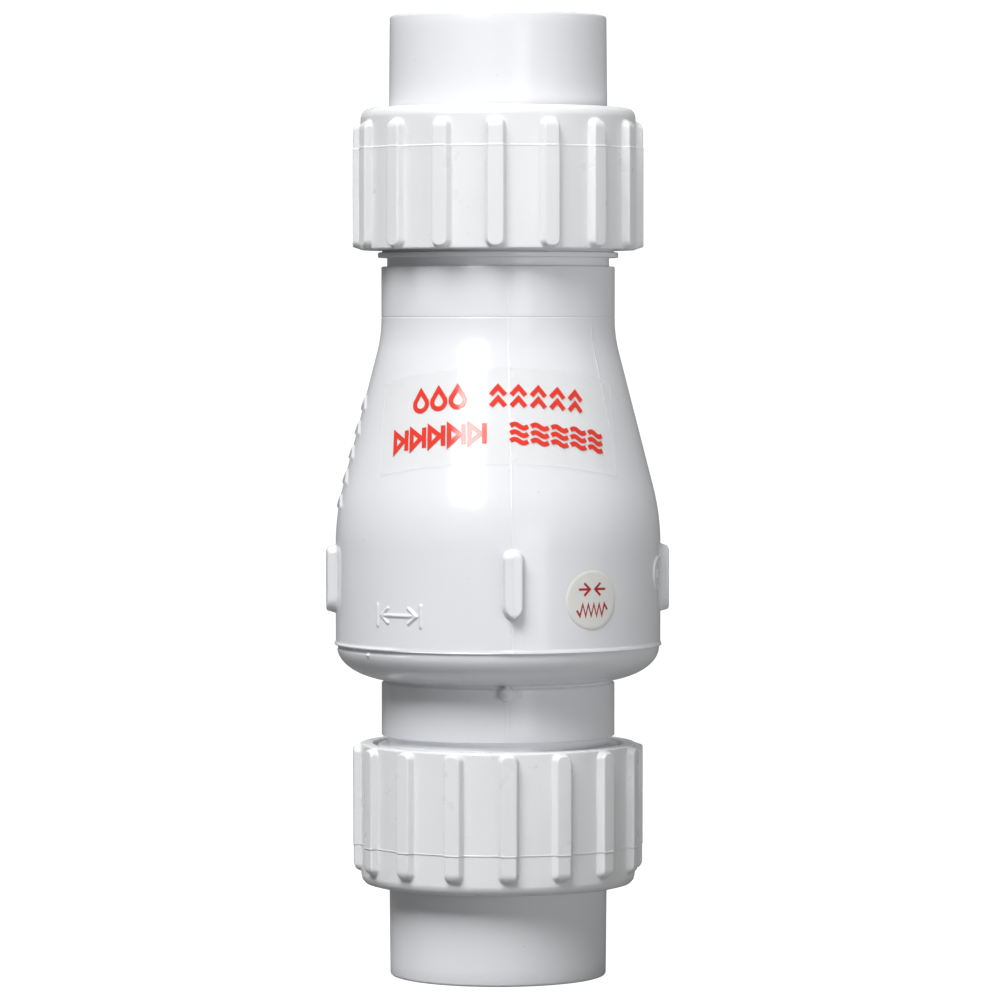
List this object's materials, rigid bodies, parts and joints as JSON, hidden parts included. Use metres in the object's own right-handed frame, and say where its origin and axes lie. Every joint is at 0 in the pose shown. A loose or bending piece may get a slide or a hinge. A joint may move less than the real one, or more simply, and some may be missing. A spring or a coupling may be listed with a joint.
{
  "type": "spring check valve",
  "caption": "White plastic spring check valve for 1-1/2 inch (DN 40) solvent-weld pipe, with a bulb-shaped body and a ribbed union nut and pipe socket at each end.",
  "frame": {"origin": "centre of the inlet end face, which the valve stands on", "axes": "+Z along the valve's axis in the direction of flow, -Y towards the front where the label is, +X to the right seen from the front"},
  "size_m": [0.0904, 0.0904, 0.2514],
  "materials": {
    "white_pvc": "moulded, satin-gloss",
    "nut_pvc": "moulded, satin",
    "grey_pvc": "moulded, satin",
    "acetal": "turned, satin",
    "black_rubber": "matt",
    "stainless": "bright drawn and turned steel",
    "clear_film": "clear self-adhesive film",
    "sticker_paper": "coated paper"
  },
  "bodies": {
    "valve_body": {"valve_body": "white_pvc", "inlet_cap": "white_pvc", "inlet_o_ring": "black_rubber", "outlet_o_ring": "black_rubber", "stem_guide": "grey_pvc", "guide_bush": "acetal", "coil_spring": "stainless", "front_label": "clear_film", "round_sticker": "sticker_paper"},
    "poppet": {"poppet_stem": "stainless", "poppet_disc": "grey_pvc", "poppet_seal": "black_rubber", "seal_retainer": "grey_pvc", "stem_washer": "stainless", "stem_nut": "stainless", "spring_cup": "stainless"},
    "inlet_socket": {"inlet_tailpiece": "white_pvc"},
    "inlet_nut": {"inlet_union_nut": "nut_pvc"},
    "outlet_socket": {"outlet_tailpiece": "white_pvc"},
    "outlet_nut": {"outlet_union_nut": "nut_pvc"}
  },
  "joints": [
    {"name": "poppet_lift", "type": "slide", "parent": "valve_body", "child": "poppet", "axis": [0, 0, 1], "range_m": [0, 0.014], "stiffness_N_per_m": 120, "springref_m": -0.018, "deforming": ["coil_spring"]},
    {"name": "inlet_socket_travel", "type": "slide", "parent": "valve_body", "child": "inlet_socket", "axis": [0, 0, -1], "range_m": [0, 0.02224]},
    {"name": "inlet_nut_turn", "type": "hinge", "parent": "inlet_socket", "child": "inlet_nut", "pos_m": [0, 0, 0.0427], "axis": [0, 0, -1], "range_deg": [0, 1260]},
    {"name": "outlet_socket_travel", "type": "slide", "parent": "valve_body", "child": "outlet_socket", "axis": [0, 0, 1], "range_m": [0, 0.02224]},
    {"name": "outlet_nut_turn", "type": "hinge", "parent": "outlet_socket", "child": "outlet_nut", "pos_m": [0, 0, 0.2087], "axis": [0, 0, 1], "range_deg": [0, 1260]}
  ],
  "couplings": [
    {"joint": "inlet_socket_travel", "follows": "inlet_nut_turn", "m_per_rad": 0.0010106},
    {"joint": "outlet_socket_travel", "follows": "outlet_nut_turn", "m_per_rad": 0.0010106}
  ]
}
